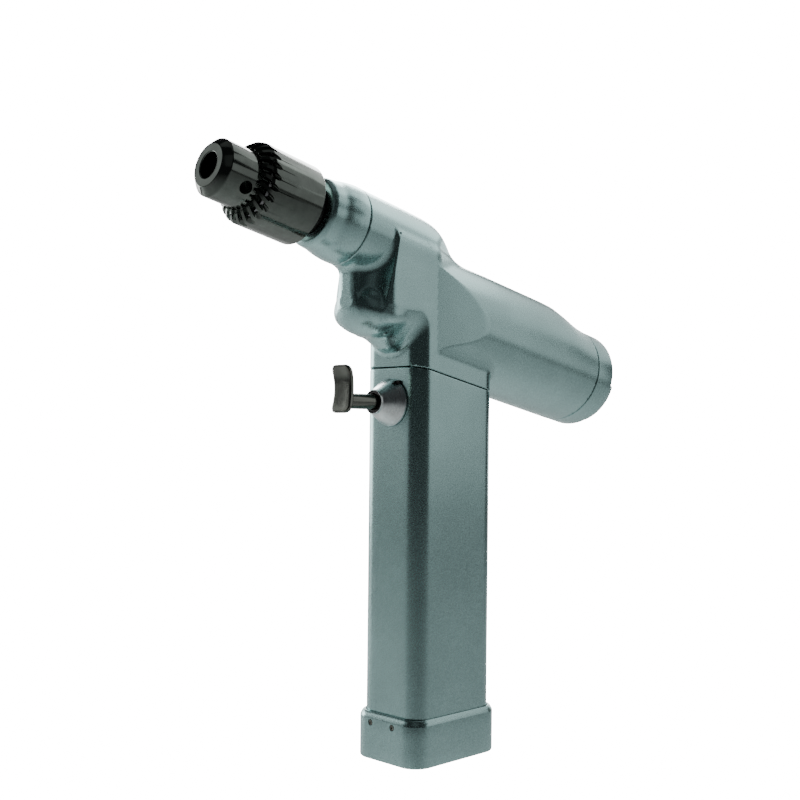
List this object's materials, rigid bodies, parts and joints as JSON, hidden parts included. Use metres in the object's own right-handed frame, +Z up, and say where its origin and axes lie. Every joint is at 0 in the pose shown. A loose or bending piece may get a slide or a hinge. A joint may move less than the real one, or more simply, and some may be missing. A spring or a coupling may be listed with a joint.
{
  "type": "surgical power drill",
  "caption": "Cordless pistol-grip surgical drill with a keyed three-jaw chuck, a geared spindle above the motor, a plunger trigger and a battery handle.",
  "frame": {"origin": "centre of the battery cap's flat foot, on which the drill stands", "axes": "+Z up along the handle, -Y towards the chuck, +X the drill's left side"},
  "size_m": [0.0424, 0.2149, 0.2297],
  "materials": {
    "bead_blasted_aluminium": "bead-blasted, satin",
    "turned_stainless_steel": "turned and brushed",
    "hardened_gear_steel": "ground",
    "ground_bearing_steel": "polished",
    "polished_gunmetal_steel": "polished dark",
    "turned_aluminium": "turned",
    "black_silicone_rubber": "matte",
    "sintered_bronze": "sintered",
    "enamelled_copper": "enamelled",
    "nickel_plated_magnet": "plated",
    "shrink_wrapped_cell": "shrink sleeve",
    "moulded_black_nylon": "moulded",
    "nickel_strip": "plain",
    "solder_masked_board": "solder mask"
  },
  "bodies": {
    "housing": {"main_housing": "bead_blasted_aluminium", "nose_housing": "bead_blasted_aluminium", "rear_cover": "bead_blasted_aluminium", "cover_o_ring": "black_silicone_rubber", "handle_shell": "bead_blasted_aluminium", "ring_gear_case": "hardened_gear_steel", "output_bush": "sintered_bronze", "spindle_rear_bush": "sintered_bronze", "front_bearing_outer_ring": "ground_bearing_steel", "front_bearing_ball_cage": "ground_bearing_steel", "bearing_retainer": "hardened_gear_steel", "motor_can": "hardened_gear_steel", "motor_front_bell": "turned_aluminium", "motor_rear_bell": "turned_aluminium", "motor_front_bush": "sintered_bronze", "motor_rear_bush": "sintered_bronze", "stator_winding": "enamelled_copper", "trigger_boss": "turned_aluminium", "boss_nut": "turned_aluminium", "boss_lock_pin": "black_silicone_rubber", "trigger_wiper": "black_silicone_rubber", "spring_plug": "turned_aluminium", "trigger_spring": "ground_bearing_steel", "controller_board": "solder_masked_board", "position_sensor": "moulded_black_nylon"},
    "spindle_group": {"spindle": "hardened_gear_steel", "spindle_gear": "hardened_gear_steel", "front_bearing_inner_ring": "ground_bearing_steel", "chuck_spacer": "black_silicone_rubber", "chuck_body": "turned_stainless_steel"},
    "sleeve_group": {"chuck_sleeve": "turned_stainless_steel", "chuck_nut": "hardened_gear_steel"},
    "jaw_1": {"chuck_jaw_1": "hardened_gear_steel"},
    "jaw_2": {"chuck_jaw_2": "hardened_gear_steel"},
    "jaw_3": {"chuck_jaw_3": "hardened_gear_steel"},
    "carrier_group": {"planet_carrier": "hardened_gear_steel", "drive_gear": "hardened_gear_steel"},
    "planet_1": {"planet_gear_1": "hardened_gear_steel"},
    "planet_2": {"planet_gear_2": "hardened_gear_steel"},
    "planet_3": {"planet_gear_3": "hardened_gear_steel"},
    "rotor_group": {"rotor_shaft": "hardened_gear_steel", "rotor_magnet": "nickel_plated_magnet", "sun_gear": "hardened_gear_steel"},
    "trigger_group": {"trigger_plate": "polished_gunmetal_steel", "trigger_stem": "polished_gunmetal_steel", "trigger_magnet": "nickel_plated_magnet"},
    "battery_pack": {"battery_cap": "bead_blasted_aluminium", "cap_pin_1": "polished_gunmetal_steel", "cap_pin_2": "polished_gunmetal_steel", "cap_seal": "black_silicone_rubber", "battery_holder": "moulded_black_nylon", "battery_cell_front_1": "shrink_wrapped_cell", "battery_cell_front_2": "shrink_wrapped_cell", "battery_cell_rear_1": "shrink_wrapped_cell", "battery_cell_rear_2": "shrink_wrapped_cell", "contact_strip_front": "nickel_strip", "contact_strip_rear": "nickel_strip", "battery_contact_plate": "nickel_strip"}
  },
  "joints": [
    {"name": "spindle_spin", "type": "hinge", "parent": "housing", "child": "spindle_group", "pos_m": [0, -0.04457, 0.20534], "axis": [0, -0.9803, 0.1977], "continuous": true},
    {"name": "carrier_spin", "type": "hinge", "parent": "housing", "child": "carrier_group", "pos_m": [0, -0.0098, 0.17538], "axis": [0, -0.9803, 0.1977], "continuous": true},
    {"name": "rotor_spin", "type": "hinge", "parent": "housing", "child": "rotor_group", "pos_m": [0, 0.02941, 0.16747], "axis": [0, -0.9803, 0.1977], "continuous": true},
    {"name": "planet_1_spin", "type": "hinge", "parent": "carrier_group", "child": "planet_1", "pos_m": [0, 0.00852, 0.18025], "axis": [0, -0.9803, 0.1977], "continuous": true},
    {"name": "planet_2_spin", "type": "hinge", "parent": "carrier_group", "child": "planet_2", "pos_m": [-0.00728, 0.00603, 0.1679], "axis": [0, -0.9803, 0.1977], "continuous": true},
    {"name": "planet_3_spin", "type": "hinge", "parent": "carrier_group", "child": "planet_3", "pos_m": [0.00728, 0.00603, 0.1679], "axis": [0, -0.9803, 0.1977], "continuous": true},
    {"name": "sleeve_turn", "type": "hinge", "parent": "spindle_group", "child": "sleeve_group", "pos_m": [0, -0.08378, 0.21324], "axis": [0, -0.9803, 0.1977], "range_deg": [0, 1440]},
    {"name": "jaw_1_slide", "type": "slide", "parent": "spindle_group", "child": "jaw_1", "axis": [-0.302, -0.9529, 0.0283], "range_m": [0, 0.0095]},
    {"name": "jaw_2_slide", "type": "slide", "parent": "spindle_group", "child": "jaw_2", "axis": [0.29, -0.957, 0.0081], "range_m": [0, 0.0095]},
    {"name": "jaw_3_slide", "type": "slide", "parent": "spindle_group", "child": "jaw_3", "axis": [0.0119, -0.8536, 0.5208], "range_m": [0, 0.0095]},
    {"name": "trigger_slide", "type": "slide", "parent": "housing", "child": "trigger_group", "axis": [0, 1, 0], "range_m": [0, 0.005], "stiffness_N_per_m": 400, "springref_m": -0.004, "deforming": ["trigger_spring"]},
    {"name": "battery_slide", "type": "slide", "parent": "housing", "child": "battery_pack", "axis": [0, 0, -1], "range_m": [0, 0.11]}
  ],
  "couplings": [
    {"joint": "carrier_spin", "follows": "spindle_spin", "ratio": -1.0455},
    {"joint": "rotor_spin", "follows": "spindle_spin", "ratio": -3.6591},
    {"joint": "planet_1_spin", "follows": "spindle_spin", "ratio": 3.4848},
    {"joint": "planet_2_spin", "follows": "spindle_spin", "ratio": 3.4848},
    {"joint": "planet_3_spin", "follows": "spindle_spin", "ratio": 3.4848},
    {"joint": "jaw_1_slide", "follows": "sleeve_turn", "m_per_rad": 0.00037805},
    {"joint": "jaw_2_slide", "follows": "sleeve_turn", "m_per_rad": 0.00037805},
    {"joint": "jaw_3_slide", "follows": "sleeve_turn", "m_per_rad": 0.00037805}
  ]
}
